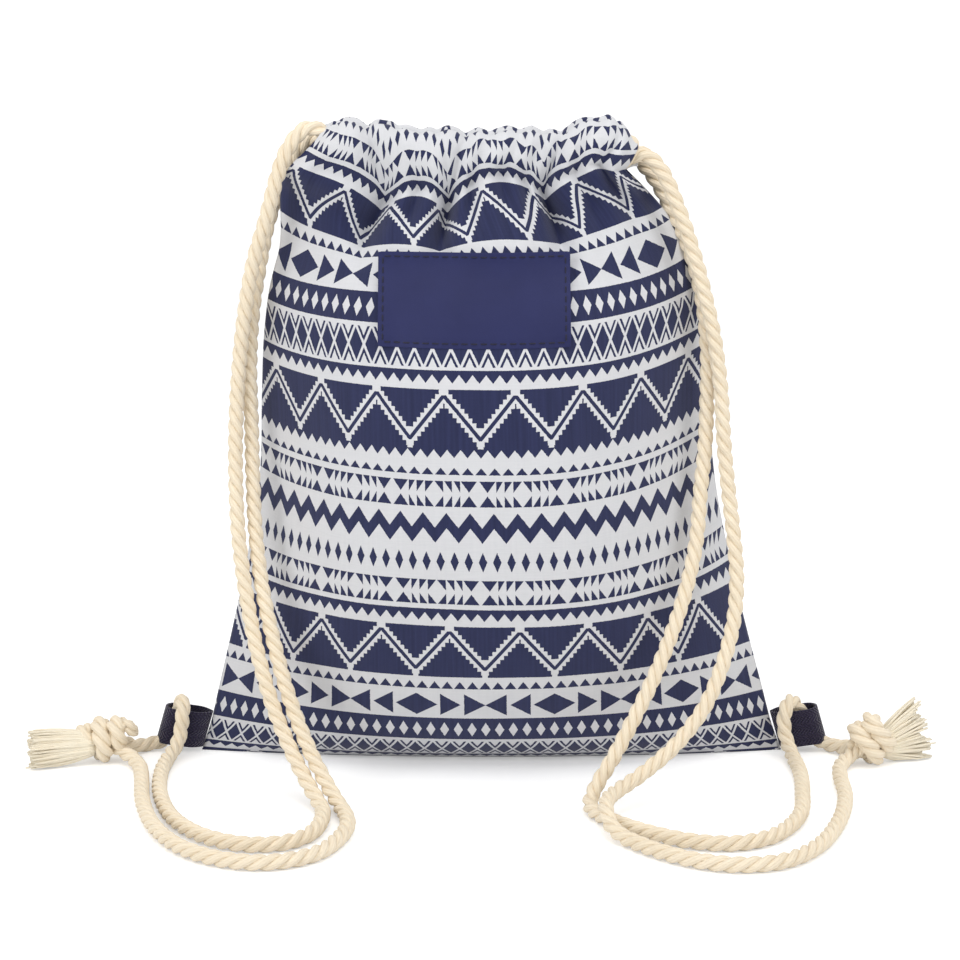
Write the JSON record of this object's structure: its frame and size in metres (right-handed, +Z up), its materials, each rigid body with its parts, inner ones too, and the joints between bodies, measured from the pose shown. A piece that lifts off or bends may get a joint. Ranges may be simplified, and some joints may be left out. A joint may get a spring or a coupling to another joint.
{
  "type": "drawstring backpack",
  "caption": "Woven cotton drawstring backpack with gathered rope channels, natural rope straps knotted at corner tabs and a plain leather patch, stuffed and standing",
  "frame": {"origin": "middle of the bottom, on the surface the bag stands on, measured without the free ropes", "axes": "+Z up, the patch faces -Y, +X to the right as seen from the front"},
  "size_m": [0.5808, 0.3246, 0.4054],
  "materials": {
    "cloth": "jacquard cotton, navy and off-white geometric bands",
    "rope": "natural twisted cotton rope, three strands",
    "leather_patch": "smooth navy leather with a fine grain",
    "webbing": "dark navy woven webbing",
    "thread": "navy sewing thread"
  },
  "bodies": {
    "root": {"front_panel": "cloth", "back_panel": "cloth", "patch": "leather_patch", "patch_stitching": "thread", "left_rope_in_channels": "rope", "right_rope_in_channels": "rope", "left_tab": "webbing", "right_tab": "webbing", "left_front_rope": "rope", "left_back_rope": "rope", "right_front_rope": "rope", "right_back_rope": "rope", "left_knot": "rope", "right_knot": "rope", "left_tassel": "rope", "right_tassel": "rope"}
  },
  "joints": []
}
